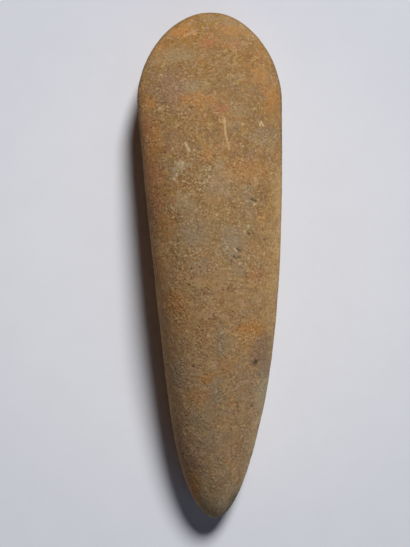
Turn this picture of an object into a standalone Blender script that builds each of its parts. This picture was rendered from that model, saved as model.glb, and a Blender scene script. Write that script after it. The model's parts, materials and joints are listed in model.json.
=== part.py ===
"""Ground stone axe head with a rounded blade and a narrow blunt butt, lying on its flatter face.

Metres, +Z up. The long axis runs along Y with the blade at +Y. The underside is nearly straight along the
axe and the upper side is arched, so the blade's edge and the tip of the butt both lie low. The origin is
on the floor, at the middle of the bounding box.
"""

import math

import bmesh
import bpy
from mathutils import Vector

# Driving dimensions, in metres. Distances along the axe are measured from the tip of the butt.
LENGTH = 0.190
BLADE_DEPTH = 0.0327  # how far the curved blade reaches beyond the widest station
BLADE_ROUNDING = 1.69  # 2 makes the blade's outline a true half ellipse, less narrows it
AXIS_LEAN = -0.0014  # sideways drift of the middle line from butt to blade
SHOULDER = 0.006  # how gently a flank's taper sets in behind the widest station

# Each flank in plan: straight taper and outward bow towards the butt, then the butt's own round corner.
LEFT_FLANK = {"half_width": 0.0276, "taper": 0.098, "bow": 0.0, "corner": 0.0041, "blend": 0.0038}
RIGHT_FLANK = {"half_width": 0.0260, "taper": 0.0, "bow": 0.352, "corner": 0.0041, "blend": 0.0042}

# The flank line, where the upper and the lower face meet, is an arch over the floor.
FLANK_LINE_HEIGHT = 0.0186
FLANK_LINE_PEAK = 0.102
BUTT_DROP = 0.0106
BUTT_DROP_CURVE = 1.47  # 1 is a straight slope, 2 is an arc
BLADE_DROP = 0.0091
BLADE_DROP_CURVE = 2.48

# How deep each face stands off the flank line: its deepest station, then its fall to either end.
UPPER_FACE = {"depth": 0.0178, "deepest": 0.088, "butt_depth": 0.0083, "butt_fall": 1.40, "blade_fall": 1.15}
LOWER_FACE = {"depth": 0.0191, "deepest": 0.102, "butt_depth": 0.0056, "butt_fall": 1.68, "blade_fall": 3.0}
BUTT_NOSE_RADIUS = 0.0045
BUTT_NOSE_BLEND = 0.003
BLADE_SHARPNESS = 0.78  # 1 meets in a keen wedge, 0.5 is fully round: this edge is worn blunt
CREST_SOFTNESS = 0.2  # share of each run over which a rise and a fall round into each other

SECTION_SQUARENESS = 2.1  # 2 is an ellipse, more is a fuller oval
FLAT_SPOT_DEPTH = 0.0005  # what is ground off the underside, so that the axe doesn't roll

# Fineness of the faceted solid.
STATIONS = 60
POINTS_AROUND = 56
END_CROWDING = 0.75  # 0 spaces the stations evenly, 1 crowds them at both ends as a cosine does


def smooth_minimum(a, b, blend):
    """The smaller of two lengths, with the corner between them rounded over the blend."""
    share = min(max(0.5 + 0.5 * (b - a) / blend, 0.0), 1.0)
    return b * (1.0 - share) + a * share - blend * share * (1.0 - share)


def eased_power(share, power):
    """A share from 0 to 1 raised to a power, started softly so that two runs meet without a crest."""
    start = CREST_SOFTNESS**power
    end = (1.0 + CREST_SOFTNESS**2) ** (power / 2.0)
    return ((share**2 + CREST_SOFTNESS**2) ** (power / 2.0) - start) / (end - start)


def half_width(station, flank):
    """How far one flank stands from the middle line."""
    widest_station = LENGTH - BLADE_DEPTH
    towards_butt = max(widest_station - station, 0.0)
    taper = flank["taper"] * towards_butt**2 / (towards_butt + SHOULDER)
    side = flank["half_width"] - taper - flank["bow"] * towards_butt**2
    corner = math.sqrt(2.0 * flank["corner"] * station)
    into_blade = max(station - widest_station, 0.0) / BLADE_DEPTH
    blade = math.sqrt(max(1.0 - into_blade**BLADE_ROUNDING, 0.0))
    return smooth_minimum(side, corner, flank["blend"]) * blade


def flank_line(station):
    """Height of the flank line over the floor."""
    towards_butt = max(FLANK_LINE_PEAK - station, 0.0) / FLANK_LINE_PEAK
    towards_blade = max(station - FLANK_LINE_PEAK, 0.0) / (LENGTH - FLANK_LINE_PEAK)
    butt_drop = BUTT_DROP * eased_power(towards_butt, BUTT_DROP_CURVE)
    blade_drop = BLADE_DROP * eased_power(towards_blade, BLADE_DROP_CURVE)
    return FLANK_LINE_HEIGHT - butt_drop - blade_drop


def face_depth(station, face):
    """How far one face stands off the flank line, at its middle."""
    if station > face["deepest"]:
        towards_blade = (station - face["deepest"]) / (LENGTH - face["deepest"])
        left = max(1.0 - eased_power(towards_blade, face["blade_fall"]), 0.0)
        return face["depth"] * left**BLADE_SHARPNESS
    towards_butt = (face["deepest"] - station) / face["deepest"]
    fall = (face["depth"] - face["butt_depth"]) * eased_power(towards_butt, face["butt_fall"])
    nose = math.sqrt(2.0 * BUTT_NOSE_RADIUS * station)
    return smooth_minimum(face["depth"] - fall, nose, BUTT_NOSE_BLEND)


def station_at(share):
    """Distance from the butt's tip, closer together near both ends."""
    even = share
    crowded = 0.5 - 0.5 * math.cos(math.pi * share)
    return LENGTH * ((1.0 - END_CROWDING) * even + END_CROWDING * crowded)


def section_point(station, turn):
    """A point of the oval cross-section, from the right flank at turn 0 round over the upper face."""
    across, up = math.cos(turn), math.sin(turn)
    flank = RIGHT_FLANK if across > 0.0 else LEFT_FLANK
    face = UPPER_FACE if up > 0.0 else LOWER_FACE
    power = 2.0 / SECTION_SQUARENESS
    x = math.copysign(abs(across) ** power, across) * half_width(station, flank)
    z = math.copysign(abs(up) ** power, up) * face_depth(station, face)
    return Vector((x + AXIS_LEAN * station / LENGTH, station, z + flank_line(station)))


def loft_body(mesh):
    """Rings of points from butt to blade, joined by quads and closed by a fan at each end."""
    rings = []
    for index in range(1, STATIONS):
        station = station_at(index / STATIONS)
        turns = [math.tau * step / POINTS_AROUND for step in range(POINTS_AROUND)]
        rings.append([mesh.verts.new(section_point(station, turn)) for turn in turns])
    for lower, upper in zip(rings, rings[1:]):
        for step in range(POINTS_AROUND):
            after = (step + 1) % POINTS_AROUND
            mesh.faces.new((lower[step], upper[step], upper[after], lower[after]))
    butt_tip = mesh.verts.new((0.0, 0.0, flank_line(0.0)))
    blade_tip = mesh.verts.new((AXIS_LEAN, LENGTH, flank_line(LENGTH)))
    for step in range(POINTS_AROUND):
        after = (step + 1) % POINTS_AROUND
        mesh.faces.new((butt_tip, rings[0][step], rings[0][after]))
        mesh.faces.new((blade_tip, rings[-1][after], rings[-1][step]))


def grind_flat_spot(mesh):
    """Cuts the lowest part of the underside off level and closes it with one flat face."""
    floor = min(vert.co.z for vert in mesh.verts) + FLAT_SPOT_DEPTH
    cut = bmesh.ops.bisect_plane(
        mesh,
        geom=mesh.verts[:] + mesh.edges[:] + mesh.faces[:],
        plane_co=(0.0, 0.0, floor),
        plane_no=(0.0, 0.0, 1.0),
        clear_inner=True,
    )
    rim = [item for item in cut["geom_cut"] if isinstance(item, bmesh.types.BMEdge)]
    bmesh.ops.holes_fill(mesh, edges=rim, sides=0)


def move_to_origin(mesh):
    """Puts the flat spot at height zero and the middle of the bounding box over the origin."""
    low = Vector([min(vert.co[axis] for vert in mesh.verts) for axis in range(3)])
    high = Vector([max(vert.co[axis] for vert in mesh.verts) for axis in range(3)])
    middle = (low + high) / 2.0
    bmesh.ops.translate(mesh, vec=(-middle.x, -middle.y, -low.z), verts=mesh.verts)


def stone_material():
    """Weathered ochre-brown stone, dull all over."""
    material = bpy.data.materials.new("stone")
    material.use_nodes = True
    shader = material.node_tree.nodes["Principled BSDF"]
    shader.inputs["Base Color"].default_value = (0.33, 0.20, 0.09, 1.0)
    shader.inputs["Roughness"].default_value = 0.75
    shader.inputs["Metallic"].default_value = 0.0
    return material


def make_axe_head():
    """The whole axe as one closed solid in its own object."""
    body = bmesh.new()
    loft_body(body)
    grind_flat_spot(body)
    move_to_origin(body)
    bmesh.ops.recalc_face_normals(body, faces=body.faces)
    data = bpy.data.meshes.new("axe_head")
    body.to_mesh(data)
    body.free()
    data.materials.append(stone_material())
    data.shade_smooth()
    data.set_sharp_from_angle(angle=math.radians(30.0))
    axe_head = bpy.data.objects.new("axe_head", data)
    bpy.context.scene.collection.objects.link(axe_head)


for leftover in list(bpy.data.objects):
    bpy.data.objects.remove(leftover)

make_axe_head()
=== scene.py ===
# %% [markdown]
# # A ground stone axe head
#
# This lesson builds one object: an axe head that somebody pecked and ground out of a single river
# stone. It has no haft and no second part. Its blade is a broad round end, its butt is a blunt point,
# and its section is an oval all the way along. A rusty brown patina covers a greenish grey stone.
#
# The packed model is loaded first, as a fixed frame. Everything made here goes where it says.

# %% Load the frame
import json
import math

import bpy
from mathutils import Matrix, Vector
from mathutils.bvhtree import BVHTree

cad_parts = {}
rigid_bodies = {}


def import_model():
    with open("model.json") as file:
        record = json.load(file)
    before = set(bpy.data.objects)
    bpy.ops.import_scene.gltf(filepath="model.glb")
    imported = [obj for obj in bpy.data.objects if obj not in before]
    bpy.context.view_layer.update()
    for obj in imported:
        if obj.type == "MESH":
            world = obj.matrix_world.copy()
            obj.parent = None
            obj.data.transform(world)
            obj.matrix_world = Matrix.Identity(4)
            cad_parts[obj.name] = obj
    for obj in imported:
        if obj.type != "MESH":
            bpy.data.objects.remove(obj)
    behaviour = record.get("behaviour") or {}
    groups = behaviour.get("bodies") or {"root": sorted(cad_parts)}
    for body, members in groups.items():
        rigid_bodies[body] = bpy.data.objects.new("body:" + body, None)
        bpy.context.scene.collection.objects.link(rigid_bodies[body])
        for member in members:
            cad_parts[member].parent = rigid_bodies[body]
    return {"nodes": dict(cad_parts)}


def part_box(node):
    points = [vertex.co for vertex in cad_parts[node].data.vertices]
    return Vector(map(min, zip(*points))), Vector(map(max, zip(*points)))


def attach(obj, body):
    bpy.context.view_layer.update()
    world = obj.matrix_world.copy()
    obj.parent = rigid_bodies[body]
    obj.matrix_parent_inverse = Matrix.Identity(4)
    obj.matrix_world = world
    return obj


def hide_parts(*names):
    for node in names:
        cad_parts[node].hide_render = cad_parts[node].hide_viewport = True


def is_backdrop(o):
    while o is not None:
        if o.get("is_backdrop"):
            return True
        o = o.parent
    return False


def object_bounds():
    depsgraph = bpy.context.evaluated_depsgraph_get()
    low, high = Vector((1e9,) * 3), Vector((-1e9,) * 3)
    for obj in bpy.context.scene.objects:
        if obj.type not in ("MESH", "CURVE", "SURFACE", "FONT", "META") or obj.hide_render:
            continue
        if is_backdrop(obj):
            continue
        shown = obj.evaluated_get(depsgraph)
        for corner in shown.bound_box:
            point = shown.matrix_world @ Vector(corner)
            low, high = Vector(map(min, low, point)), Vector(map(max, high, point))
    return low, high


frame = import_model()
cad_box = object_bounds()
low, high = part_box("axe_head")
middle = (low + high) / 2
print("the frame's box in mm:", [round(1000 * side, 1) for side in high - low])

# %% [markdown]
# ## Camera
#
# The stone lies on its flatter face on a sheet of pale paper, and we look straight down on it. A camera
# with no rotation already looks down its own -Z with +Y up, so it only needs a place. Its lens follows
# from how much the picture's long side should show at half the stone's height.

# %% Make the camera
CAMERA_HEIGHT = 0.430
LONG_SIDE_SHOWN = 0.2011
CAMERA_OFFSET = Vector((-0.0017, -0.0030, 0.0))

camera_data = bpy.data.cameras.new("overhead_camera")
camera_data.sensor_width = 36.0
camera_data.lens = camera_data.sensor_width * (CAMERA_HEIGHT - middle.z) / LONG_SIDE_SHOWN
camera = bpy.data.objects.new("overhead_camera", camera_data)
camera.location = Vector((middle.x, middle.y, CAMERA_HEIGHT)) + CAMERA_OFFSET
bpy.context.scene.collection.objects.link(camera)
bpy.context.scene.camera = camera
print("lens in mm:", round(camera_data.lens, 1))

# %% [markdown]
# ## A small helper for node trees
#
# A node tree is a list of sums. Writing each Math node out takes four lines, so this class does it in
# one: it adds the node, fills each input with a number or a link, and hands back the result's socket.

# %% Helper that adds nodes


class Tree:
    """Adds nodes to one node tree and returns their output sockets."""

    def __init__(self, tree):
        self.tree = tree

    def node(self, kind, inputs=(), **settings):
        node = self.tree.nodes.new(kind)
        for name, value in settings.items():
            setattr(node, name, value)
        pairs = inputs.items() if isinstance(inputs, dict) else enumerate(inputs)
        for key, value in pairs:
            if isinstance(value, bpy.types.NodeSocket):
                self.tree.links.new(value, node.inputs[key])
            else:
                node.inputs[key].default_value = value
        return node

    def math(self, operation, *values):
        return self.node("ShaderNodeMath", values, operation=operation).outputs[0]

    def product(self, first, *others):
        for other in others:
            first = self.math("MULTIPLY", first, other)
        return first

    def mix(self, share, a, b):
        return self.node("ShaderNodeMix", {0: share, 2: a, 3: b}, data_type="FLOAT").outputs[0]

    def ramp(self, value, start, end, low=0.0, high=1.0, kind="SMOOTHSTEP"):
        """The value carried from the range start..end to low..high, and held there outside it."""
        inputs = {"Value": value, "From Min": start, "From Max": end, "To Min": low, "To Max": high}
        return self.node("ShaderNodeMapRange", inputs, interpolation_type=kind).outputs[0]

    def vector(self, operation, *values):
        node = self.node("ShaderNodeVectorMath", values, operation=operation)
        return node.outputs["Value" if operation in ("LENGTH", "DOT_PRODUCT") else "Vector"]

    def scaled(self, vector, factor):
        inputs = {0: vector, "Scale": factor}
        return self.node("ShaderNodeVectorMath", inputs, operation="SCALE").outputs[0]

    def split(self, vector):
        return self.node("ShaderNodeSeparateXYZ", [vector]).outputs

    def join(self, x, y, z):
        return self.node("ShaderNodeCombineXYZ", [x, y, z]).outputs[0]

    def noise(self, place, feature_size, seed=0.0, **inputs):
        """Soft random values from 0 to 1, mostly near the middle, with features of one size."""
        inputs = {key.capitalize(): value for key, value in inputs.items()}
        inputs |= {"Vector": place, "W": seed, "Scale": 1.0 / feature_size}
        return self.node("ShaderNodeTexNoise", inputs, noise_dimensions="4D").outputs[0]

    def cells(self, place, cell_size, seed=0.0, **settings):
        """Random cells of one size: outputs Distance from each cell's middle, and its own Color."""
        inputs = {"Vector": place, "W": seed, "Scale": 1.0 / cell_size}
        node = self.node("ShaderNodeTexVoronoi", inputs, voronoi_dimensions="4D", **settings)
        return node.outputs

    def patch(self, place, middle, radii, edge=0.5):
        """1 in the middle of an oval patch of the plan, 0 outside it; edge is its soft share."""
        away = self.vector("SUBTRACT", place, (*middle, 0.0))
        away = self.vector("MULTIPLY", away, (1.0 / radii[0], 1.0 / radii[1], 0.0))
        return self.ramp(self.vector("LENGTH", away), 1.0 - edge, 1.0 + edge, 1.0, 0.0)

    def line(self, place, start, end, width):
        """1 along a line of the plan from start to end, 0 beyond its width."""
        along = Vector((end[0] - start[0], end[1] - start[1], 0.0))
        away = self.vector("MULTIPLY", place, (1.0, 1.0, 0.0))
        away = self.vector("SUBTRACT", away, (*start, 0.0))
        share = self.math("DIVIDE", self.vector("DOT_PRODUCT", away, along), along.length_squared)
        share = self.ramp(share, 0.0, 1.0, kind="LINEAR")
        along = self.scaled(along, share)
        distance = self.vector("LENGTH", self.vector("SUBTRACT", away, along))
        return self.ramp(distance, 0.3 * width, width, 1.0, 0.0)

    def count(self, what):
        """Prints how many nodes the tree has by now, with the step just made."""
        print("nodes with " + what + ":", len(self.tree.nodes))


print("what the helper can do:", [name for name in vars(Tree) if not name.startswith("_")])

# %% [markdown]
# ## The body, by rule
#
# A mason shapes such an axe by eye, yet the result follows a simple rule. Seen from above, each flank
# is a taper or a gentle bow, closed by a half-oval blade and a small round corner at the butt. Seen
# from the side, a flank line arches over the floor, and the upper and the lower face stand off it, each
# with its own deepest place. At every station the section is an oval through those four lines.
#
# One could push a sphere about by hand, or subdivide a coarse cage. A Geometry Nodes tree is better
# here, because the rule itself is the model. It starts from a UV sphere, whose poles become the two
# ends, reads each point's place on the sphere as a station and a turn, and sets its new position.
#
# The sizes are those of the frame's solid, with two changes. The blends are half as large again, since
# the Smooth Minimum node rounds a corner less. The upper face is a hair lower, so that the finished
# piece stays inside the solid's box.

# %% Sizes of the body, in metres
BODY_SIZES = {
    "Length": high.y - low.y,
    "Blade Depth": 0.0327,
    "Blade Rounding": 1.69,
    "Axis Lean": -0.0014,
    "Shoulder": 0.006,
    "Left Half Width": 0.0276,
    "Left Taper": 0.098,
    "Left Bow": 0.0,
    "Left Corner": 0.0041,
    "Left Blend": 0.0057,
    "Right Half Width": 0.0260,
    "Right Taper": 0.0,
    "Right Bow": 0.352,
    "Right Corner": 0.0041,
    "Right Blend": 0.0063,
    "Flank Line Height": 0.0186,
    "Flank Line Peak": 0.102,
    "Butt Drop": 0.0106,
    "Butt Drop Curve": 1.47,
    "Blade Drop": 0.0091,
    "Blade Drop Curve": 2.48,
    "Upper Depth": 0.01775,
    "Upper Deepest": 0.088,
    "Upper Butt Depth": 0.0083,
    "Upper Butt Fall": 1.40,
    "Upper Blade Fall": 1.15,
    "Lower Depth": 0.0191,
    "Lower Deepest": 0.102,
    "Lower Butt Depth": 0.0056,
    "Lower Butt Fall": 1.68,
    "Lower Blade Fall": 3.0,
    "Crest Softness": 0.2,
    "Butt Nose": 0.0045,
    "Butt Blend": 0.0045,
    "Blade Sharpness": 0.78,
    "Section Squareness": 2.1,
    "Flat Spot Depth": 0.0005,
    "End Crowding": 0.6,
}
print("sizes of the body:", len(BODY_SIZES))

# %% [markdown]
# ### The tree's inputs
#
# The tree gets one named input for each of those sizes, so that a modifier panel shows them all. The
# surface has a few sizes of its own: how deep its hollows, pecking and grain go, and the seed that
# places them.

# %% Open the body's tree and name its inputs
SEGMENTS = 240
RINGS = 380
SURFACE_SIZES = {
    "Hollow Depth": 0.00018,
    "Peck Depth": 0.00011,
    "Grain Depth": 0.00006,
    "Pit Depth": 0.00045,
    "Scratch Depth": 0.00012,
}
SEED = 7

axe_tree = bpy.data.node_groups.new("ground_axe_head", "GeometryNodeTree")
axe_tree.is_modifier = True
for name in list(BODY_SIZES) + list(SURFACE_SIZES):
    axe_tree.interface.new_socket(name, in_out="INPUT", socket_type="NodeSocketFloat")
for name in ("Segments", "Rings", "Seed"):
    axe_tree.interface.new_socket(name, in_out="INPUT", socket_type="NodeSocketInt")
axe_tree.interface.new_socket("Material", in_out="INPUT", socket_type="NodeSocketMaterial")
axe_tree.interface.new_socket("Geometry", in_out="OUTPUT", socket_type="NodeSocketGeometry")
shaper = Tree(axe_tree)
size = shaper.node("NodeGroupInput").outputs
inputs = [item.name for item in axe_tree.interface.items_tree if item.in_out == "INPUT"]
print("inputs of the tree:", len(inputs))

# %% [markdown]
# ### From a sphere to four lines and a section
#
# A point of the sphere is worth three numbers: how far along the axe it lies, and the cosine and the
# sine of its turn round the section. They are stored as an attribute called "turn", because the
# material wants them too. The next cells work out the four lines at that station, one after another.

# %% Read each point of the sphere as a station and a turn
NEVER_ZERO = 1e-6

sphere = shaper.node("GeometryNodeMeshUVSphere", {"Segments": size["Segments"], "Rings": size["Rings"]})
sphere_x, sphere_y, sphere_z = shaper.split(shaper.node("GeometryNodeInputPosition").outputs[0])
even_share = shaper.math("DIVIDE", shaper.math("ARCCOSINE", sphere_z), math.pi)
crowded_share = shaper.math("MULTIPLY_ADD", sphere_z, -0.5, 0.5)
share = shaper.mix(size["End Crowding"], even_share, crowded_share)
station = shaper.math("MULTIPLY", share, size["Length"])
ring_radius = shaper.vector("LENGTH", shaper.join(sphere_x, sphere_y, 0.0))
ring_radius = shaper.math("MAXIMUM", ring_radius, NEVER_ZERO)
across = shaper.math("DIVIDE", sphere_x, ring_radius)
upward = shaper.math("DIVIDE", sphere_y, ring_radius)
known = {"Geometry": sphere.outputs["Mesh"], "Name": "turn", "Value": shaper.join(across, upward, share)}
known = shaper.node("GeometryNodeStoreNamedAttribute", known, data_type="FLOAT_VECTOR").outputs[0]
print("points on the sphere:", SEGMENTS * (RINGS - 1) + 2)

# %% The plan: how far each flank stands out
widest_station = shaper.math("SUBTRACT", size["Length"], size["Blade Depth"])
behind_widest = shaper.math("MAXIMUM", shaper.math("SUBTRACT", widest_station, station), 0.0)
into_blade = shaper.math("MAXIMUM", shaper.math("SUBTRACT", station, widest_station), 0.0)
into_blade = shaper.math("DIVIDE", into_blade, size["Blade Depth"])
blade_left = shaper.math("SUBTRACT", 1.0, shaper.math("POWER", into_blade, size["Blade Rounding"]))
blade_outline = shaper.math("SQRT", shaper.math("MAXIMUM", blade_left, 0.0))


def flank_half_width(side):
    """The smaller of the flank's own line and the butt's round corner, blended, then the blade."""
    squared = shaper.math("MULTIPLY", behind_widest, behind_widest)
    eased = shaper.math("DIVIDE", squared, shaper.math("ADD", behind_widest, size["Shoulder"]))
    taper = shaper.math("MULTIPLY", eased, size[side + " Taper"])
    bow = shaper.math("MULTIPLY", squared, size[side + " Bow"])
    flank = shaper.math("SUBTRACT", size[side + " Half Width"], shaper.math("ADD", taper, bow))
    corner = shaper.math("MULTIPLY", shaper.math("MULTIPLY", station, size[side + " Corner"]), 2.0)
    outline = shaper.math("SMOOTH_MIN", flank, shaper.math("SQRT", corner), size[side + " Blend"])
    return shaper.math("MULTIPLY", outline, blade_outline)


on_the_right = shaper.math("GREATER_THAN", across, 0.0)
half_width = shaper.mix(on_the_right, flank_half_width("Left"), flank_half_width("Right"))
shaper.count("the plan")

# %% The side view: sums that the flank line and both faces share


def runs_from(peak):
    """How far a point is on its way from the peak to the butt, and to the blade, as shares."""
    behind = shaper.math("MAXIMUM", shaper.math("SUBTRACT", peak, station), 0.0)
    ahead = shaper.math("MAXIMUM", shaper.math("SUBTRACT", station, peak), 0.0)
    blade_span = shaper.math("SUBTRACT", size["Length"], peak)
    return shaper.math("DIVIDE", behind, peak), shaper.math("DIVIDE", ahead, blade_span)


def eased_power(run, power):
    """A share raised to a power, started softly so that two runs meet without a crest."""
    softness = size["Crest Softness"]
    soft_square = shaper.product(softness, softness)
    half_power = shaper.product(power, 0.5)
    start = shaper.math("POWER", softness, power)
    end = shaper.math("POWER", shaper.math("ADD", soft_square, 1.0), half_power)
    here = shaper.math("ADD", shaper.product(run, run), soft_square)
    here = shaper.math("SUBTRACT", shaper.math("POWER", here, half_power), start)
    return shaper.math("DIVIDE", here, shaper.math("SUBTRACT", end, start))


# %% The side view: the flank line, and how far each face stands off it


def face_depth(face):
    """The fall towards the blade's edge, and the one towards the butt, smoothed into its nose."""
    towards_butt, towards_blade = runs_from(size[face + " Deepest"])
    left = shaper.math("SUBTRACT", 1.0, eased_power(towards_blade, size[face + " Blade Fall"]))
    left = shaper.math("POWER", shaper.math("MAXIMUM", left, 0.0), size["Blade Sharpness"])
    blade_side = shaper.product(size[face + " Depth"], left)
    fall = eased_power(towards_butt, size[face + " Butt Fall"])
    butt_side = shaper.mix(fall, size[face + " Depth"], size[face + " Butt Depth"])
    nose = shaper.math("SQRT", shaper.product(station, size["Butt Nose"], 2.0))
    butt_side = shaper.math("SMOOTH_MIN", butt_side, nose, size["Butt Blend"])
    on_the_blade = shaper.math("GREATER_THAN", towards_blade, 0.0)
    return shaper.mix(on_the_blade, butt_side, blade_side)


towards_butt, towards_blade = runs_from(size["Flank Line Peak"])
butt_drop = shaper.product(eased_power(towards_butt, size["Butt Drop Curve"]), size["Butt Drop"])
blade_drop = shaper.product(eased_power(towards_blade, size["Blade Drop Curve"]), size["Blade Drop"])
drop = shaper.math("ADD", butt_drop, blade_drop)
flank_line = shaper.math("SUBTRACT", size["Flank Line Height"], drop)
on_top = shaper.math("GREATER_THAN", upward, 0.0)
face_height = shaper.mix(on_top, face_depth("Lower"), face_depth("Upper"))
shaper.count("the side view")

# %% The section: an oval a little fuller than an ellipse
section_power = shaper.math("DIVIDE", 2.0, size["Section Squareness"])


def fuller(turn):
    """Pushes a circle's coordinate outwards, and keeps its sign."""
    swollen = shaper.math("POWER", shaper.math("ABSOLUTE", turn), section_power)
    return shaper.math("MULTIPLY", swollen, shaper.math("SIGN", turn))


swollen = fuller(across)
lean = shaper.math("MULTIPLY", size["Axis Lean"], shaper.math("DIVIDE", station, size["Length"]))
x = shaper.math("MULTIPLY_ADD", swollen, half_width, lean)
z = shaper.math("MULTIPLY_ADD", fuller(upward), face_height, flank_line)
shaper.count("the section")

# %% [markdown]
# ### How far from the blade's edge
#
# The material makes the blade's edge darker, so it has to know how far inside the outline a point is.
# The blade's outline is a curve on which a certain sum is zero. That sum divided by its own slope is
# nearly the distance to the curve. It is exact enough close to the edge, where it is used.

# %% Store the distance to the blade's edge, in millimetres
MILLIMETRES = 1000.0
LEAST_SLOPE = 0.001

outline_left = shaper.product(blade_outline, blade_outline)
level = shaper.product(outline_left, shaper.math("SUBTRACT", 1.0, shaper.product(swollen, swollen)))
slope_across = shaper.product(swollen, 2.0, blade_outline)
slope_across = shaper.math("DIVIDE", slope_across, size["Left Half Width"])
slope_along = shaper.math("POWER", into_blade, shaper.math("SUBTRACT", size["Blade Rounding"], 1.0))
slope_along = shaper.product(slope_along, size["Blade Rounding"])
slope_along = shaper.math("DIVIDE", slope_along, size["Blade Depth"])
slope = shaper.vector("LENGTH", shaper.join(slope_across, slope_along, LEAST_SLOPE))
from_edge = shaper.product(shaper.math("DIVIDE", level, slope), MILLIMETRES)
known = {"Geometry": known, "Name": "from_edge", "Value": from_edge}
known = shaper.node("GeometryNodeStoreNamedAttribute", known, data_type="FLOAT").outputs[0]
shaper.count("the distance to the edge")

# %% Give the sphere its new shape
shaped = {"Geometry": known, "Position": shaper.join(x, station, z)}
body = shaper.node("GeometryNodeSetPosition", shaped).outputs[0]
shaper.count("the whole body")

# %% [markdown]
# ## Laying it down
#
# The sums above count stations from the butt, so the body still has to move: the middle of its bounding
# box goes over the origin, where the frame's solid has it. The lowest half millimetre is under the floor
# for now. It becomes the small flat spot that keeps a round stone from rolling.

# %% Centre the body and sink its flat spot to the floor
extent = shaper.node("GeometryNodeBoundBox", {"Geometry": body}).outputs
centre = shaper.scaled(shaper.vector("ADD", extent["Min"], extent["Max"]), 0.5)
centre_x, centre_y, _ = shaper.split(centre)
floor_z = shaper.math("ADD", shaper.split(extent["Min"])[2], size["Flat Spot Depth"])
shift = shaper.scaled(shaper.join(centre_x, centre_y, floor_z), -1.0)
laid = shaper.node("GeometryNodeSetPosition", {"Geometry": body, "Offset": shift}).outputs[0]
print("under the floor in mm:", MILLIMETRES * BODY_SIZES["Flat Spot Depth"])

# %% [markdown]
# ## The surface
#
# The mason pecked the stone to shape with a hammer stone, then ground it on a wet slab. Grinding wiped
# most of the pecking away near the blade and left it in the butt half. So the surface has wide, very
# shallow hollows, a field of small pecked dimples that fades towards the blade, and the stone's own
# grain. A few pits and scratches have places of their own. The short scratches and the one long bent
# one are newer than the patina, so they are pale.
#
# All of this only takes stone away: every point moves inwards along its normal. The same tree stores
# how deep it went as an attribute, so that the material can darken the same dimples with dirt and
# painted shade.

# %% Pits and scratches of the upper face: start, end, width in metres, and how pale a scratch is
PITS = {
    "deep pit by the right flank": ((0.0167, -0.0349), (0.0162, -0.0356), 0.0011),
    "crease right of the middle": ((0.0149, 0.0235), (0.0162, 0.0228), 0.0006),
    "crease below the grey patch": ((0.0095, 0.0058), (0.0107, 0.0049), 0.0005),
    "spot under it": ((0.0084, 0.0030), (0.0086, 0.0027), 0.0006),
    "curve under it": ((0.0092, 0.0023), (0.0107, 0.0028), 0.0004),
    "spot further down": ((0.0076, 0.0014), (0.0077, 0.0011), 0.0005),
    "pit beside the grey patch": ((0.0137, 0.0113), (0.0139, 0.0109), 0.0005),
    "pit right of that": ((0.0153, 0.0113), (0.0154, 0.0110), 0.0004),
    "pit in the butt half, left": ((-0.0061, -0.0361), (-0.0059, -0.0363), 0.0004),
    "pit in the butt half, right": ((0.0151, -0.0510), (0.0153, -0.0511), 0.0004),
}
SCRATCHES = {
    "streak on the blade": ((-0.0093, 0.0852), (-0.0050, 0.0872), 0.00080, 0.28),
    "long scratch below the blade, upper part": ((0.0053, 0.0528), (0.0056, 0.0477), 0.00052, 0.56),
    "long scratch, lower part": ((0.0056, 0.0477), (0.0070, 0.0414), 0.00052, 0.48),
    "short nick left of it": ((-0.0086, 0.0436), (-0.0072, 0.0408), 0.00075, 0.75),
    "pale mark below the grey patch": ((0.0087, 0.0060), (0.0094, 0.0049), 0.00042, 0.75),
    "chip right of the scratch, left leg": ((0.0187, 0.0520), (0.0181, 0.0505), 0.00042, 0.75),
    "chip right of the scratch, right leg": ((0.0187, 0.0520), (0.0193, 0.0505), 0.00042, 0.75),
}
print("pits:", len(PITS), "and scratches:", len(SCRATCHES))

# %% Hollows, pecked dimples and grain
HOLLOW_SIZE = 0.016
PECKED_PATCH_SIZE = 0.010
DIMPLE_SIZE = 0.0026
LUMP_SIZE = 0.0018

place = shaper.node("GeometryNodeInputPosition").outputs[0]
turn = {"Name": "turn"}
turn = shaper.node("GeometryNodeInputNamedAttribute", turn, data_type="FLOAT_VECTOR").outputs[0]
_, facing_up, along = shaper.split(turn)
seed = size["Seed"]

hollows = shaper.ramp(shaper.noise(place, HOLLOW_SIZE, seed, detail=2.0), 0.35, 0.75)
hollows = shaper.product(hollows, size["Hollow Depth"])

pecked = shaper.noise(place, PECKED_PATCH_SIZE, seed, detail=1.0)
pecked = shaper.ramp(pecked, 0.35, 0.65, 0.25, 1.0)
pecked = shaper.product(pecked, shaper.ramp(along, 0.45, 0.85, 1.0, 0.35))
dimples = shaper.cells(place, DIMPLE_SIZE, seed, feature="SMOOTH_F1")["Distance"]
dimples = shaper.product(shaper.ramp(dimples, 0.1, 0.6, 1.0, 0.0), pecked, size["Peck Depth"])

grain = shaper.ramp(shaper.noise(place, LUMP_SIZE, seed, detail=0.0), 0.3, 0.7)
grain = shaper.product(grain, shaper.ramp(along, 0.65, 0.95, 1.0, 0.5), size["Grain Depth"])
shaper.count("hollows, dimples and grain")

# %% Pits and scratches, and how deep all of it goes
above = shaper.ramp(facing_up, 0.05, 0.2)
marks = 0.0
for start, end, width in PITS.values():
    pit = shaper.line(place, start, end, width)
    marks = shaper.math("MAXIMUM", shaper.product(pit, size["Pit Depth"]), marks)
for start, end, width, _ in SCRATCHES.values():
    scratch = shaper.line(place, start, end, width)
    marks = shaper.math("MAXIMUM", shaper.product(scratch, size["Scratch Depth"]), marks)
marks = shaper.product(marks, above)

depth = shaper.math("ADD", shaper.math("ADD", hollows, dimples), shaper.math("ADD", grain, marks))
print("deepest the surface can go in mm:", round(MILLIMETRES * sum(SURFACE_SIZES.values()), 2))

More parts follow.
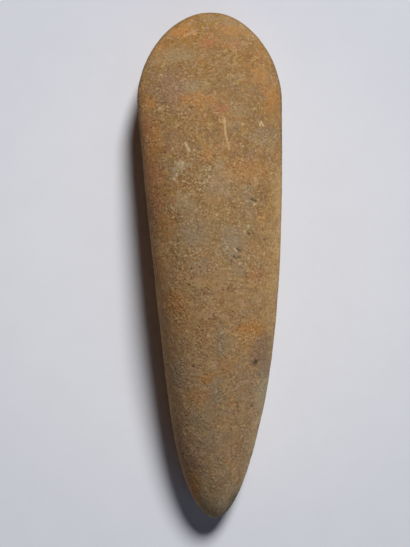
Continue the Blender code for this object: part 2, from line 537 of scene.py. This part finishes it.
# %% Move the points inwards, grind the flat spot and close the tree
known = {"Geometry": laid, "Name": "depth", "Value": shaper.product(depth, MILLIMETRES)}
known = shaper.node("GeometryNodeStoreNamedAttribute", known, data_type="FLOAT").outputs[0]
normal = shaper.node("GeometryNodeInputNormal").outputs[0]
inwards = shaper.scaled(normal, shaper.product(depth, -1.0))
worn = shaper.node("GeometryNodeSetPosition", {"Geometry": known, "Offset": inwards}).outputs[0]

worn_x, worn_y, worn_z = shaper.split(shaper.node("GeometryNodeInputPosition").outputs[0])
levelled = shaper.join(worn_x, worn_y, shaper.math("MAXIMUM", worn_z, 0.0))
flat = shaper.node("GeometryNodeSetPosition", {"Geometry": worn, "Position": levelled}).outputs[0]
smooth = shaper.node("GeometryNodeSetShadeSmooth", {"Geometry": flat}).outputs[0]
real = shaper.node("GeometryNodeRealizeInstances", {"Geometry": smooth}).outputs[0]
finished = {"Geometry": real, "Material": size["Material"]}
finished = shaper.node("GeometryNodeSetMaterial", finished).outputs[0]
shaper.node("NodeGroupOutput", {"Geometry": finished})
shaper.count("everything")

# %% [markdown]
# ## The stone
#
# The material is one stone under a crust of rust and dirt. Its ground is a greenish grey, and an ochre
# patina covers most of it, orange at the blade and browner at the butt. Iron has stained it orange and
# red in places, the right flank is yellow with a painted highlight that turns pale towards the butt, and
# the ground shows through in soft grey patches. The blade's edge is darker, and painted shade darkens
# one side of the butt's tip.
#
# Colours that the whole stone shares come from soft noise in three sizes: wide clouds, small mottling
# and the grain. Marks that the eye remembers have places of their own. The grain is both colour and
# bump, with dark pores in it, and it is coarser in some patches than in others, because grinding never
# reached the bottom of the deepest pecking.
#
# One could paint such a stone on a picture and wrap it round the mesh. Noise nodes are better here:
# they have no seams, they are sharp from near and far, and every size and colour stays a number.

# %% Colours of the stone, as linear red, green and blue
BLADE_ORANGE = (0.240, 0.114, 0.020)
FRONT_OCHRE = (0.230, 0.126, 0.042)
BODY_OCHRE = (0.350, 0.202, 0.087)
BUTT_BROWN = (0.328, 0.208, 0.111)
TIP_PALE = (0.360, 0.300, 0.184)
LEFT_FLANK_RUST = (0.550, 0.276, 0.102)
# The right flank's yellow and pale colours are partly a painted highlight on the side that faces the
# light.
RIGHT_FLANK_LIT_YELLOW = (0.650, 0.405, 0.155)
RIGHT_FLANK_PALE_HIGHLIGHT = (0.700, 0.520, 0.275)
GREY_GREEN = (0.285, 0.200, 0.100)
BLUE_GREY = (0.250, 0.196, 0.126)
PALE_GREY = (0.400, 0.320, 0.200)
RUST_ORANGE = (0.410, 0.178, 0.042)
BRICK_RED = (0.340, 0.145, 0.058)
MAUVE_BROWN = (0.250, 0.146, 0.084)
BRIGHT_OCHRE = (0.450, 0.265, 0.105)
OLIVE_YELLOW = (0.350, 0.228, 0.062)
PALE = (0.580, 0.415, 0.235)
DARK_RUST = (0.155, 0.068, 0.020)
DARK = (0.080, 0.048, 0.026)
DARK_OLIVE = (0.110, 0.095, 0.050)
print("red over blue at the blade:", round(BLADE_ORANGE[0] / BLADE_ORANGE[2], 1))
print("red over blue in the grey patches:", round(BLUE_GREY[0] / BLUE_GREY[2], 1))

# %% Places of the stains on the upper face: middle, radii in metres, and strength
STAINS = {
    "rust orange": {
        "blade's edge, left": ((-0.0100, 0.0868), (0.0045, 0.0024), 0.8),
        "blade's edge, middle": ((0.0077, 0.0872), (0.0045, 0.0022), 0.5),
        "blade, far left": ((-0.0187, 0.0800), (0.0030, 0.0034), 0.4),
        "blade, right": ((0.0226, 0.0605), (0.0024, 0.0060), 0.6),
        "blade, right, higher": ((0.0183, 0.0688), (0.0028, 0.0034), 0.5),
        "under the blade": ((-0.0035, 0.0597), (0.0065, 0.0022), 0.6),
        "left flank, by the blade": ((-0.0222, 0.0590), (0.0022, 0.0022), 0.7),
        "left flank, high": ((-0.0205, 0.0450), (0.0030, 0.0070), 0.6),
        "left flank, middle": ((-0.0200, 0.0290), (0.0034, 0.0060), 0.5),
        "left flank, low": ((-0.0160, 0.0130), (0.0036, 0.0060), 0.35),
        "left flank, under the middle": ((-0.0198, -0.0015), (0.0028, 0.0065), 0.6),
        "below the nick": ((-0.0010, 0.0393), (0.0028, 0.0024), 0.6),
        "below the scratch": ((0.0135, 0.0340), (0.0070, 0.0040), 0.5),
        "right flank, small": ((0.0190, 0.0170), (0.0020, 0.0018), 0.6),
        "right of the middle": ((0.0150, -0.0225), (0.0050, 0.0028), 0.9),
        "left of the middle": ((-0.0130, -0.0130), (0.0050, 0.0045), 0.6),
        "by the middle": ((-0.0072, -0.0007), (0.0020, 0.0016), 0.3),
        "low middle": ((0.0070, -0.0345), (0.0030, 0.0022), 0.3),
        "butt half, left": ((-0.0090, -0.0217), (0.0030, 0.0030), 0.4),
        "lower": ((-0.0015, -0.0408), (0.0018, 0.0016), 0.8),
        "butt, left": ((-0.0060, -0.0825), (0.0026, 0.0070), 0.8),
    },
    "brick red": {
        "blade, middle": ((-0.0002, 0.0825), (0.0028, 0.0022), 1.0),
        "blade, right of the middle": ((0.0085, 0.0815), (0.0045, 0.0020), 0.5),
        "above the scratch": ((0.0039, 0.0561), (0.0026, 0.0018), 0.9),
        "left flank, high": ((-0.0230, 0.0490), (0.0028, 0.0070), 0.6),
        "left flank, middle": ((-0.0195, 0.0330), (0.0030, 0.0045), 0.8),
        "left flank, low": ((-0.0190, 0.0210), (0.0024, 0.0050), 0.9),
        "right, by the middle": ((0.0176, -0.0032), (0.0022, 0.0020), 0.5),
    },
    "pale grey": {
        "left of the scratch": ((-0.0105, 0.0350), (0.0024, 0.0022), 0.75),
        "left of that": ((-0.0126, 0.0320), (0.0016, 0.0012), 0.5),
        "beside the scratch": ((0.0035, 0.0352), (0.0022, 0.0018), 0.3),
        "above the grey patch": ((-0.0090, 0.0218), (0.0036, 0.0036), 0.35),
        "above the middle": ((0.0020, 0.0295), (0.0060, 0.0060), 0.3),
        "beside the tip of the butt": ((0.0050, -0.0890), (0.0030, 0.0035), 0.5),
        "lower right flank": ((0.0198, -0.0475), (0.0030, 0.0060), 0.65),
    },
    "blue grey": {
        "right of the scratch": ((0.0195, 0.0462), (0.0048, 0.0034), 0.4),
        "beside the scratch": ((0.0088, 0.0496), (0.0018, 0.0028), 0.3),
        "right, high": ((0.0135, 0.0238), (0.0026, 0.0034), 0.35),
        "right flank, under the pit": ((0.0196, -0.0385), (0.0022, 0.0028), 0.6),
        "large, left of the middle": ((-0.0058, 0.0115), (0.0048, 0.0050), 0.55),
        "large, right of the middle": ((0.0078, 0.0072), (0.0036, 0.0056), 0.6),
        "below the left one": ((-0.0040, -0.0006), (0.0036, 0.0030), 0.4),
        "below the right one": ((0.0105, -0.0010), (0.0026, 0.0028), 0.5),
        "middle, low": ((0.0040, -0.0265), (0.0020, 0.0055), 0.6),
        "left, low": ((-0.0114, -0.0390), (0.0034, 0.0036), 0.6),
        "left, lower": ((-0.0035, -0.0555), (0.0036, 0.0036), 0.5),
        "middle, lower": ((0.0024, -0.0460), (0.0026, 0.0034), 0.5),
        "middle, lowest": ((0.0008, -0.0635), (0.0032, 0.0038), 0.4),
    },
    "grey green": {
        "blade, left": ((-0.0120, 0.0775), (0.0085, 0.0026), 0.7),
        "left, under the blade": ((-0.0078, 0.0652), (0.0056, 0.0024), 0.9),
        "right, above the pits": ((0.0140, 0.0135), (0.0024, 0.0028), 0.6),
        "wide band across the middle": ((0.0030, 0.0090), (0.0130, 0.0130), 0.4),
        "tip of the butt": ((0.0018, -0.0905), (0.0040, 0.0040), 0.5),
        "blade's edge": ((0.0045, 0.0925), (0.0080, 0.0016), 0.5),
        "above the scratch, right": ((0.0100, 0.0563), (0.0040, 0.0028), 0.5),
        "lower right flank": ((0.0205, -0.0430), (0.0030, 0.0090), 0.5),
    },
    "mauve brown": {
        "left, under the blade": ((-0.0142, 0.0642), (0.0052, 0.0066), 0.8),
        "far left, under the blade": ((-0.0205, 0.0660), (0.0026, 0.0050), 0.4),
        "right, high": ((0.0150, 0.0381), (0.0026, 0.0028), 0.6),
        "left, high": ((-0.0130, 0.0440), (0.0040, 0.0040), 0.45),
        "right flank, low": ((0.0188, -0.0320), (0.0036, 0.0070), 0.8),
        "left, far down": ((-0.0058, -0.0715), (0.0045, 0.0085), 0.8),
        "left flank, far down": ((-0.0112, -0.0640), (0.0018, 0.0080), 0.6),
        "butt, middle": ((0.0030, -0.0800), (0.0040, 0.0060), 0.5),
    },
    "bright ochre": {
        "right flank, by the middle": ((0.0215, -0.0075), (0.0028, 0.0080), 0.5),
        "right of the middle": ((0.0100, -0.0255), (0.0040, 0.0030), 0.6),
        "right flank, high": ((0.0192, 0.0138), (0.0028, 0.0036), 0.4),
        "left flank, middle": ((-0.0188, 0.0035), (0.0042, 0.0065), 0.8),
        "butt half, middle": ((0.0060, -0.0574), (0.0050, 0.0030), 0.4),
    },
}
FLECKS = {
    "right of the middle": (0.0137, 0.0025),
    "beside it": (0.0105, 0.0005),
    "far right of the middle": (0.0194, 0.0043),
    "above the middle": (0.0136, 0.0138),
    "left of that": (0.0124, 0.0118),
    "under the crease": (0.0158, 0.0216),
    "butt half, middle": (0.0042, -0.0239),
    "butt half, left of that": (-0.0005, -0.0249),
    "butt half, right": (0.0086, -0.0401),
    "butt half, far left": (-0.0082, -0.0235),
    "right of the scratch": (0.0119, 0.0507),
    "left flank": (-0.0182, 0.0568),
    "left, in the grey patch": (-0.0096, 0.0366),
    "left, below the grey patch": (-0.0126, 0.0306),
    "left, beside that": (-0.0118, 0.0322),
    "middle, above the grey patches": (0.0024, 0.0177),
}
FLECK_RADIUS = 0.0005
print("stains:", {kind: len(places) for kind, places in STAINS.items()}, "and flecks:", len(FLECKS))

# %% Make the material
stone = bpy.data.materials.new("weathered_ground_stone")
stone.use_nodes = True
stone.node_tree.nodes.clear()
paint = Tree(stone.node_tree)
place = paint.node("ShaderNodeTexCoord").outputs["Object"]
turn = paint.node("ShaderNodeAttribute", attribute_name="turn").outputs["Vector"]
depth = paint.node("ShaderNodeAttribute", attribute_name="depth").outputs["Fac"]
from_edge = paint.node("ShaderNodeAttribute", attribute_name="from_edge").outputs["Fac"]
across, facing_up, _ = paint.split(turn)
above = paint.ramp(facing_up, 0.0, 0.2)
paint.count("what it reads from the mesh")

# %% Two helpers that lay one colour over another


def stained(colour, share, stain, blend="MIX"):
    """The colour with a stain laid over it where the share is high."""
    inputs = {0: share, 6: colour, 7: (*stain, 1.0) if isinstance(stain, tuple) else stain}
    return paint.node("ShaderNodeMix", inputs, data_type="RGBA", blend_type=blend).outputs[2]


def brightened(colour, factor):
    """The colour times a factor that changes over the surface."""
    return stained(colour, 1.0, paint.scaled((1.0, 1.0, 1.0), factor), "MULTIPLY")


# %% [markdown]
# ### Patina and clouds
#
# The patina's bands run across the axe. A straight border would look painted, so every place is pushed
# about by fine noise first, and the bands and stains are laid by that frayed place.

# %% Fray the places
FRAY_SIZE = 0.002
FRAY_REACH = 0.008

frayed = {"Vector": place, "Scale": 1.0 / FRAY_SIZE, "Detail": 3.0}
frayed = paint.node("ShaderNodeTexNoise", frayed).outputs["Color"]
frayed = paint.scaled(paint.vector("SUBTRACT", frayed, (0.5, 0.5, 0.5)), FRAY_REACH)
frayed = paint.vector("ADD", place, frayed)
_, frayed_y, _ = paint.split(frayed)
print("borders are frayed by up to mm:", MILLIMETRES * FRAY_REACH / 2)

# %% Patina: orange at the blade, browner at the butt, rust on the left flank, painted highlight on the yellow right flank
colour = stained((*BODY_OCHRE, 1.0), paint.ramp(frayed_y, -0.012, 0.016), FRONT_OCHRE)
colour = stained(colour, paint.ramp(frayed_y, 0.066, 0.088), BLADE_ORANGE)
colour = stained(colour, paint.ramp(frayed_y, -0.022, -0.045), BUTT_BROWN)
colour = stained(colour, paint.ramp(frayed_y, -0.070, -0.088, 0.0, 0.85), TIP_PALE)
on_the_flank = paint.ramp(paint.math("ABSOLUTE", facing_up), 0.75, 0.25)
on_the_left = paint.product(on_the_flank, paint.ramp(across, -0.3, -0.6, 0.0, 0.7))
on_the_right = paint.product(on_the_flank, paint.ramp(across, 0.3, 0.6, 0.0, 0.8))
colour = stained(colour, paint.product(on_the_left, paint.ramp(frayed_y, 0.065, 0.045)), LEFT_FLANK_RUST)
# Painted highlight: the right flank, which faces the light, is made yellower, and paler towards the
# butt.
yellow_and_painted_highlight = stained((*RIGHT_FLANK_LIT_YELLOW, 1.0), paint.ramp(frayed_y, -0.020, -0.045), RIGHT_FLANK_PALE_HIGHLIGHT)
colour = stained(colour, paint.product(on_the_right, paint.ramp(frayed_y, 0.055, 0.020)), yellow_and_painted_highlight)
paint.count("the patina")

# %% Clouds that the whole stone shares: thin patina, rust, red and plain light and dark
THIN_PATINA_SIZE = 0.012
RUSTY_CLOUD_SIZE = 0.010
RED_CLOUD_SIZE = 0.006
TONE_CLOUD_SIZE = 0.0055

thin = paint.noise(frayed, THIN_PATINA_SIZE, 1.0, detail=2.0, roughness=0.6)
colour = stained(colour, paint.ramp(thin, 0.50, 0.70, 0.0, 0.6), GREY_GREEN)
rusty = paint.noise(frayed, RUSTY_CLOUD_SIZE, 2.0, detail=2.0, roughness=0.6)
colour = stained(colour, paint.ramp(rusty, 0.50, 0.70, 0.0, 0.5), RUST_ORANGE)
reddish = paint.noise(frayed, RED_CLOUD_SIZE, 3.0, detail=2.0, roughness=0.6)
colour = stained(colour, paint.ramp(reddish, 0.56, 0.76, 0.0, 0.45), BRICK_RED)
clouds = paint.noise(place, TONE_CLOUD_SIZE, 4.0, detail=2.0, roughness=0.6)
colour = brightened(colour, paint.ramp(clouds, 0.3, 0.7, 0.91, 1.09, "LINEAR"))
paint.count("the clouds")

# %% Mottling: the crust's own small patches, rusty or grey, mauve or olive, light or dark
MOTTLE_SIZE = 0.0024

mottle = {"Vector": frayed, "Scale": 1.0 / MOTTLE_SIZE, "Detail": 2.0, "Roughness": 0.6}
mottle = paint.node("ShaderNodeTexNoise", mottle).outputs["Color"]
rusty, mauve, light = paint.split(mottle)
colour = stained(colour, paint.ramp(rusty, 0.50, 0.70, 0.0, 0.42), RUST_ORANGE)
colour = stained(colour, paint.ramp(rusty, 0.50, 0.30, 0.0, 0.42), GREY_GREEN)
colour = stained(colour, paint.ramp(mauve, 0.50, 0.70, 0.0, 0.55), MAUVE_BROWN)
colour = stained(colour, paint.ramp(mauve, 0.50, 0.30, 0.0, 0.55), OLIVE_YELLOW)
colour = stained(colour, paint.ramp(light, 0.50, 0.70, 0.0, 0.28), PALE)
colour = stained(colour, paint.ramp(light, 0.50, 0.30, 0.0, 0.35), DARK_RUST)
paint.count("the mottling")

# %% Blotches of dark rust and painted shade on the left flank's blade half, where the slab hardly reached
BLOTCH_SIZE = 0.0032

rough_flank = paint.product(paint.ramp(across, -0.30, -0.70), paint.ramp(frayed_y, 0.0, 0.012))
rough_flank = paint.product(rough_flank, paint.ramp(frayed_y, 0.060, 0.045))
# The dark blotches are partly rust and partly painted shade of the coarse pecking.
rust_and_painted_shade_blotches = paint.noise(frayed, BLOTCH_SIZE, 7.0, detail=2.0, roughness=0.6)
rust_and_painted_shade_blotches = paint.product(paint.ramp(rust_and_painted_shade_blotches, 0.50, 0.64, 0.0, 0.7), rough_flank)
colour = stained(colour, rust_and_painted_shade_blotches, DARK_RUST)
paint.count("the blotches")

# %% [markdown]
# ### Stains, grain and marks
#
# The stains of one kind are joined before their colour is laid, so that two that overlap don't add up.
# The greenish ground comes first and the pale rubbed patches last. The grain lies over them all, and
# the marks lie over the grain.

# %% Stains with places of their own, in the order they are laid
STAIN_COLOURS = {
    "grey green": GREY_GREEN,
    "mauve brown": MAUVE_BROWN,
    "bright ochre": BRIGHT_OCHRE,
    "rust orange": RUST_ORANGE,
    "brick red": BRICK_RED,
    "blue grey": BLUE_GREY,
    "pale grey": PALE_GREY,
}
STAIN_SOFTNESS = 0.6

for kind, stain in STAIN_COLOURS.items():
    share = 0.0
    for where, radii, strength in STAINS[kind].values():
        spot = paint.product(paint.patch(frayed, where, radii, edge=STAIN_SOFTNESS), strength)
        share = paint.math("MAXIMUM", spot, share)
    colour = stained(colour, paint.product(share, above), stain)
paint.count("the stains")

# %% Where the grain is coarse: in patches, and more on the left flank and away from both ends
COARSE_PATCH_SIZE = 0.0045

coarseness = paint.noise(place, COARSE_PATCH_SIZE, 6.0, detail=1.0)
coarseness = paint.ramp(coarseness, 0.38, 0.62, 0.6, 1.25)
coarseness = paint.product(coarseness, paint.ramp(across, 0.6, -0.6, 0.88, 1.15))
coarseness = paint.product(coarseness, paint.ramp(frayed_y, 0.030, 0.085, 1.0, 0.65))
coarseness = paint.product(coarseness, paint.ramp(frayed_y, -0.020, -0.050, 1.0, 0.85))
paint.count("the coarseness")

# %% Grain: a sandy grain with its own tone, warmth and shade, and dark pores
GRAIN_SIZE = 0.0008

grain = {"Vector": place, "Scale": 1.0 / GRAIN_SIZE, "Detail": 3.0, "Roughness": 0.65}
grain = paint.node("ShaderNodeTexNoise", grain).outputs["Color"]
tone, warmth, shade = paint.split(grain)
pores = paint.ramp(tone, 0.46, 0.30)
colour = stained(colour, paint.ramp(warmth, 0.50, 0.72, 0.0, 0.12), RUST_ORANGE)
colour = stained(colour, paint.ramp(warmth, 0.50, 0.28, 0.0, 0.12), GREY_GREEN)
colour = stained(colour, paint.product(paint.ramp(shade, 0.50, 0.70, 0.0, 0.48), coarseness), PALE)
colour = stained(colour, paint.product(paint.ramp(shade, 0.50, 0.30, 0.0, 0.66), coarseness), DARK_RUST)
colour = brightened(colour, paint.ramp(pores, 0.0, 1.0, 1.02, 0.85, "LINEAR"))
paint.count("the grain")

# %% Single pale and dark grains: a few cells of a warped pattern, picked by their random colour
CRYSTAL_SIZE = 0.0011
WARP_REACH = 0.0014

warped = paint.scaled(paint.vector("SUBTRACT", grain, (0.5, 0.5, 0.5)), WARP_REACH)
warped = paint.vector("ADD", place, warped)
crystals = {"Vector": warped, "Scale": 1.0 / CRYSTAL_SIZE}
crystals = paint.node("ShaderNodeTexVoronoi", crystals, voronoi_dimensions="3D").outputs
chance = paint.split(crystals["Color"])[0]
crumb = paint.product(paint.ramp(crystals["Distance"], 0.45, 0.22), coarseness)
colour = stained(colour, paint.product(paint.ramp(chance, 0.955, 0.965, 0.0, 0.55), crumb), PALE)
colour = stained(colour, paint.product(paint.ramp(chance, 0.040, 0.030, 0.0, 0.6), crumb), DARK)
paint.count("the single grains")

# %% Marks: pale scratches and flecks, and dark pits
FLECK_PALENESS = 0.6
PIT_DARKNESS = 0.62

uneven = paint.scaled(paint.vector("ADD", place, warped), 0.5)
for start, end, width, paleness in SCRATCHES.values():
    scratch = paint.product(paint.line(uneven, start, end, width), above, paleness)
    colour = stained(colour, scratch, PALE)
for where in FLECKS.values():
    fleck = paint.patch(warped, where, (FLECK_RADIUS, FLECK_RADIUS))
    colour = stained(colour, paint.product(fleck, above, FLECK_PALENESS), PALE)
for start, end, width in PITS.values():
    pit = paint.product(paint.line(uneven, start, end, width), above, PIT_DARKNESS)
    colour = stained(colour, pit, DARK)
paint.count("the marks")

# %% Darker: dirt and painted shade in everything deep, a band along the blade's edge, painted shade on the right of the butt's tip
# Dirt and painted shade: the deeper a point lies, the darker its colour.
colour = stained(colour, paint.ramp(depth, 0.12, 0.40, 0.0, 0.25), DARK)
# A darker band along the blade's edge, fainter towards the butt.
edge = paint.ramp(from_edge, 1.2, 0.2, 0.0, 0.35)
edge = paint.product(edge, paint.ramp(frayed_y, 0.020, 0.060, 0.3, 1.0))
# Painted shade: the rim on the right of the butt's tip is darkened in colour.
painted_shade_at_the_tip = paint.ramp(across, 0.55, 0.95, 0.0, 0.75)
painted_shade_at_the_tip = paint.product(paint.ramp(frayed_y, -0.078, -0.088), painted_shade_at_the_tip)
edge = paint.math("MAXIMUM", edge, painted_shade_at_the_tip)
colour = stained(colour, edge, DARK_OLIVE)
paint.count("the dirt")

# %% [markdown]
# ### Relief too fine for the mesh
#
# Grains and pores are about as small as the mesh's faces, so a Bump node makes them. It is strongest
# where the grain is coarse, and the left flank is lumpier. No shine is left: the stone is dull all
# over, and a little duller in the pores.

# %% Roughness, bump and the shader
BUMP_LUMP_SIZE = 0.0020
BUMP_REACH = 0.0006
BUMP_STRENGTH = 0.40
SHEEN = 0.25

lumps = paint.noise(place, BUMP_LUMP_SIZE, 5.0, detail=1.0)
lumpier = paint.ramp(rough_flank, 0.0, 1.0, 1.0, 2.4, "LINEAR")
relief = paint.math("ADD", tone, paint.product(lumps, 0.5, lumpier))
relief = paint.math("SUBTRACT", relief, paint.product(pores, 0.15))
relief = paint.math("SUBTRACT", relief, paint.product(crystals["Distance"], 0.3))
strength = paint.product(coarseness, BUMP_STRENGTH)
bump = {"Height": relief, "Distance": BUMP_REACH, "Strength": strength}
bump = paint.node("ShaderNodeBump", bump).outputs[0]
roughness = paint.ramp(tone, 0.3, 0.7, 0.92, 0.74, "LINEAR")
shader = {"Base Color": colour, "Roughness": roughness, "Normal": bump}
shader["Specular IOR Level"] = SHEEN
shader = paint.node("ShaderNodeBsdfPrincipled", shader).outputs[0]
paint.node("ShaderNodeOutputMaterial", {"Surface": shader})
paint.count("everything")

# %% [markdown]
# ## From the tree to the piece
#
# The tree works as a modifier on an empty mesh. Its inputs are set by each socket's identifier. The
# finished result is copied out as a plain mesh, and the carrier is thrown away.

# %% Run the tree and keep its result
carrier = bpy.data.objects.new("axe_carrier", bpy.data.meshes.new("axe_carrier"))
bpy.context.scene.collection.objects.link(carrier)
modifier = carrier.modifiers.new("ground_axe_head", "NODES")
modifier.node_group = axe_tree
values = BODY_SIZES | SURFACE_SIZES
values |= {"Segments": SEGMENTS, "Rings": RINGS, "Seed": SEED, "Material": stone}
for item in axe_tree.interface.items_tree:
    if item.name in values:
        modifier[item.identifier] = values[item.name]
carrier.update_tag()
depsgraph = bpy.context.evaluated_depsgraph_get()
mesh = bpy.data.meshes.new_from_object(carrier.evaluated_get(depsgraph))
bpy.data.objects.remove(carrier)
mesh.name = "ground_stone_axe"
axe = bpy.data.objects.new("ground_stone_axe", mesh)
bpy.context.scene.collection.objects.link(axe)
triangles = sum(len(polygon.vertices) - 2 for polygon in mesh.polygons)
print("triangles:", triangles)

# %% Compare it with the frame's solid, at one point in seven
solid = frame["nodes"]["axe_head"]
points = [vertex.co for vertex in solid.data.vertices]
faces = [tuple(polygon.vertices) for polygon in solid.data.polygons]
tree_of_solid = BVHTree.FromPolygons(points, faces)
gaps = [tree_of_solid.find_nearest(vertex.co)[3] for vertex in list(mesh.vertices)[::7]]
print("greatest distance from the solid in mm:", round(MILLIMETRES * max(gaps), 2))
print("mean distance in mm:", round(MILLIMETRES * sum(gaps) / len(gaps), 2))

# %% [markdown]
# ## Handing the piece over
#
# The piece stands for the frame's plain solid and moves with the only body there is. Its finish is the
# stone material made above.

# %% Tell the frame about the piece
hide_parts("axe_head")
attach(axe, "root")
print(axe.name, "stands for axe_head and rides on root")

# %% [markdown]
# ## Floor and light
#
# The floor is a sheet of pale, very slightly blue paper, with painted shade that makes it a little
# darker further out. One large soft light stands far off, up and to the right, half way between the
# horizon and the zenith, so the shadow falls to the lower left with a wide soft edge.
#
# Two weak lights fill that shadow. The room is dim and warm, and a cool light like that of the sky
# comes from the lower right. On open paper the two add up to nearly white. Beside the thick body only
# the warm one gets in, so the shadow is brown there, and it turns blue grey around the low butt. A low
# side view also shows what lies past the paper. The Light Path node gives that a pale grey, without
# changing the light that the room sheds.

# %% Make the paper's material
PAPER = (0.762, 0.768, 0.804)
PAPER_IN_PAINTED_SHADE = (0.700, 0.712, 0.766)
PAPER_CLOUD_SIZE = 0.02

paper = bpy.data.materials.new("pale_paper")
paper.use_nodes = True
paper.node_tree.nodes.clear()
sheet = Tree(paper.node_tree)
place = sheet.node("ShaderNodeTexCoord").outputs["Object"]
clouds = sheet.noise(place, PAPER_CLOUD_SIZE, detail=4.0, roughness=0.7)
clouds = sheet.ramp(clouds, 0.3, 0.7, 0.985, 1.015, "LINEAR")
# Painted shade: the paper is made darker further out from the middle.
painted_shade_further_out = sheet.ramp(sheet.vector("LENGTH", place), 0.055, 0.130)
tint = {0: painted_shade_further_out, 6: (*PAPER, 1.0), 7: (*PAPER_IN_PAINTED_SHADE, 1.0)}
tint = sheet.node("ShaderNodeMix", tint, data_type="RGBA").outputs[2]
tint = {0: 1.0, 6: tint, 7: sheet.scaled((1.0, 1.0, 1.0), clouds)}
tint = sheet.node("ShaderNodeMix", tint, data_type="RGBA", blend_type="MULTIPLY").outputs[2]
shader = {"Base Color": tint, "Roughness": 0.9, "Specular IOR Level": 0.1}
shader = sheet.node("ShaderNodeBsdfPrincipled", shader).outputs[0]
sheet.node("ShaderNodeOutputMaterial", {"Surface": shader})
sheet.count("the whole paper")

# %% Make the floor
FLOOR_SIZE = 6.0

half = FLOOR_SIZE / 2
corners = [(-half, -half, 0.0), (half, -half, 0.0), (half, half, 0.0), (-half, half, 0.0)]
floor_mesh = bpy.data.meshes.new("paper_floor")
floor_mesh.from_pydata(corners, [], [(0, 1, 2, 3)])
floor_mesh.materials.append(paper)
floor = bpy.data.objects.new("paper_floor", floor_mesh)
bpy.context.scene.collection.objects.link(floor)
floor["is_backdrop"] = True
print("side of the floor in metres:", FLOOR_SIZE)

# %% Make the lights
LIGHT_DISTANCE = 3.0


def hang_light(name, azimuth, elevation, size, power, colour=(1.0, 1.0, 1.0)):
    """A round soft light, its angles in degrees, that faces the middle of the paper."""
    lamp = bpy.data.lights.new(name, "AREA")
    lamp.shape = "DISK"
    lamp.size = size
    lamp.energy = power
    lamp.color = colour
    turned, raised = math.radians(azimuth), math.radians(elevation)
    reach = math.cos(raised)
    towards_light = Vector((reach * math.cos(turned), reach * math.sin(turned), math.sin(raised)))
    light = bpy.data.objects.new(name, lamp)
    light.location = towards_light * LIGHT_DISTANCE
    light.rotation_euler = towards_light.to_track_quat("Z", "Y").to_euler()
    bpy.context.scene.collection.objects.link(light)
    print(name, "stands at", [round(value, 2) for value in light.location])


hang_light("soft_window", azimuth=70.0, elevation=44.0, size=0.92, power=103.5)
hang_light("cool_side", azimuth=-55.0, elevation=38.0, size=2.4, power=8.2, colour=(0.26, 0.63, 1.0))

# %% Make the room
WARM_ROOM = (0.041, 0.023, 0.016)
PALE_WALL = (0.420, 0.430, 0.460)

room = bpy.data.worlds.new("dim_room")
room.use_nodes = True
air = Tree(room.node_tree)
seen = air.node("ShaderNodeLightPath").outputs["Is Camera Ray"]
tint = {0: seen, 6: (*WARM_ROOM, 1.0), 7: (*PALE_WALL, 1.0)}
tint = air.node("ShaderNodeMix", tint, data_type="RGBA").outputs[2]
room.node_tree.links.new(tint, room.node_tree.nodes["Background"].inputs["Color"])
bpy.context.scene.world = room
bpy.context.scene.view_settings.view_transform = "Standard"
print("world:", bpy.context.scene.world.name)

# %% [markdown]
# ## Last: sizes
#
# The visual model is meant to stay inside the box of the packed solid, so both boxes are printed.

# %% Print both boxes and finish
visual_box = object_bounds()
boxes = {"cad": [list(corner) for corner in cad_box], "visual": [list(corner) for corner in visual_box]}
for which, box in boxes.items():
    print(which, "box in mm:", [[round(MILLIMETRES * value, 2) for value in corner] for corner in box])
